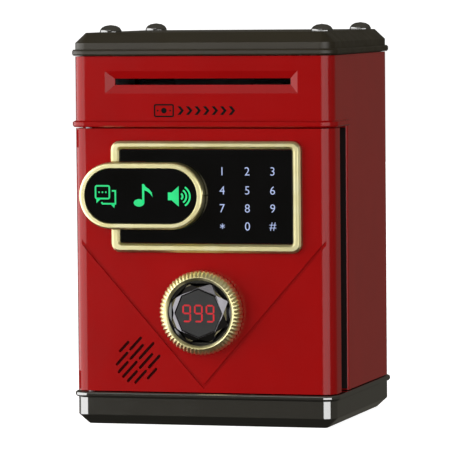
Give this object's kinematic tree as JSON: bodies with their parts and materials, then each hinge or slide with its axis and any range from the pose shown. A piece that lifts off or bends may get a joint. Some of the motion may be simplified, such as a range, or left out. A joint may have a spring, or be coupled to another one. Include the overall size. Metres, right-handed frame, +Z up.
{
  "type": "toy savings bank",
  "caption": "Box-shaped toy cash-machine bank with a hinged front door, keypad panel, turning knob lock, motor note feeder and coin slot.",
  "frame": {"origin": "on the table under the middle of the overall box", "axes": "+Z up, the door and keypad face -Y, +X to the right as seen from the front"},
  "size_m": [0.128, 0.1194, 0.1862],
  "materials": {
    "red_abs": "glossy moulded red ABS",
    "black_abs": "semi-gloss moulded black ABS",
    "gold_plate": "pale gold plating on moulded ABS",
    "black_acrylic": "polished black acrylic",
    "smoked_chrome": "dark chrome plating on moulded ABS",
    "display_face": "satin dark grey display face",
    "steel": "nickel-plated or bright steel",
    "white_nylon": "natural nylon",
    "rubber": "matt black rubber",
    "circuit_board": "green solder mask",
    "grey_abs": "fine-textured dark grey ABS",
    "cell_sleeve": "printed cell sleeve, plain blue",
    "paper_cone": "black pressed paper"
  },
  "bodies": {
    "case": {"housing_shell": "red_abs", "top_lid": "black_abs", "lid_stud_front_left": "smoked_chrome", "lid_stud_front_right": "smoked_chrome", "lid_stud_rear_left": "smoked_chrome", "lid_stud_rear_right": "smoked_chrome", "base_tray": "black_abs", "base_screw_front_left": "steel", "base_screw_front_right": "steel", "base_screw_rear_left": "steel", "base_screw_rear_right": "steel", "battery_cover": "black_abs", "battery_cover_screw": "steel", "battery_1": "cell_sleeve", "battery_2": "cell_sleeve", "battery_3": "cell_sleeve", "battery_contact_left": "steel", "battery_contact_right": "steel", "feeder_deck": "grey_abs", "note_guide": "grey_abs", "coin_chute": "grey_abs", "feed_motor": "steel", "hinge_pin_top": "steel", "hinge_pin_bottom": "steel", "strike_plate": "steel"},
    "feed_shaft": {"feed_shaft": "steel", "feed_gear": "white_nylon", "feed_roller_left": "rubber", "feed_roller_right": "rubber"},
    "idler_shaft": {"idler_shaft": "steel", "idler_roller_left": "rubber", "idler_roller_right": "rubber"},
    "motor_pinion": {"motor_pinion": "white_nylon"},
    "door": {"door_panel": "red_abs", "door_back_cover": "grey_abs", "keypad_bezel": "gold_plate", "keypad_screen": "black_acrylic", "touch_board": "circuit_board", "pod_bezel": "gold_plate", "pod_screen": "black_acrylic", "pod_board": "circuit_board", "speaker_frame": "steel", "speaker_cone": "paper_cone", "speaker_magnet": "steel", "display_cap": "smoked_chrome", "display_window": "display_face", "display_module": "circuit_board", "display_stem": "grey_abs", "lock_solenoid": "steel", "main_board": "circuit_board", "cover_screw_1": "steel", "cover_screw_2": "steel", "cover_screw_3": "steel", "cover_screw_4": "steel"},
    "knob": {"knob_ring": "gold_plate", "knob_cam": "white_nylon"},
    "bolt": {"latch_bolt": "steel"},
    "plunger": {"lock_plunger": "steel"}
  },
  "joints": [
    {"name": "door_hinge", "type": "hinge", "parent": "case", "child": "door", "pos_m": [-0.0565, -0.04525, 0.077], "axis": [0, 0, -1], "range_deg": [0, 105]},
    {"name": "knob_turn", "type": "hinge", "parent": "door", "child": "knob", "pos_m": [0, -0.05175, 0.0533], "axis": [0, 1, 0], "range_deg": [0, 60]},
    {"name": "bolt_slide", "type": "slide", "parent": "door", "child": "bolt", "axis": [1, 0, 0], "range_m": [0, 0.0089]},
    {"name": "plunger_slide", "type": "slide", "parent": "door", "child": "plunger", "axis": [1, 0, 0], "range_m": [0, 0.0032]},
    {"name": "feed_spin", "type": "hinge", "parent": "case", "child": "feed_shaft", "pos_m": [0, -0.02975, 0.16555], "axis": [1, 0, 0], "continuous": true},
    {"name": "idler_spin", "type": "hinge", "parent": "case", "child": "idler_shaft", "pos_m": [0, -0.02975, 0.15455], "axis": [1, 0, 0], "continuous": true},
    {"name": "pinion_spin", "type": "hinge", "parent": "case", "child": "motor_pinion", "pos_m": [0, -0.01778, 0.17355], "axis": [1, 0, 0], "continuous": true}
  ],
  "couplings": [
    {"joint": "bolt_slide", "follows": "knob_turn", "m_per_rad": 0.0084034},
    {"joint": "idler_spin", "follows": "feed_spin", "ratio": -1},
    {"joint": "pinion_spin", "follows": "feed_spin", "ratio": -2}
  ]
}
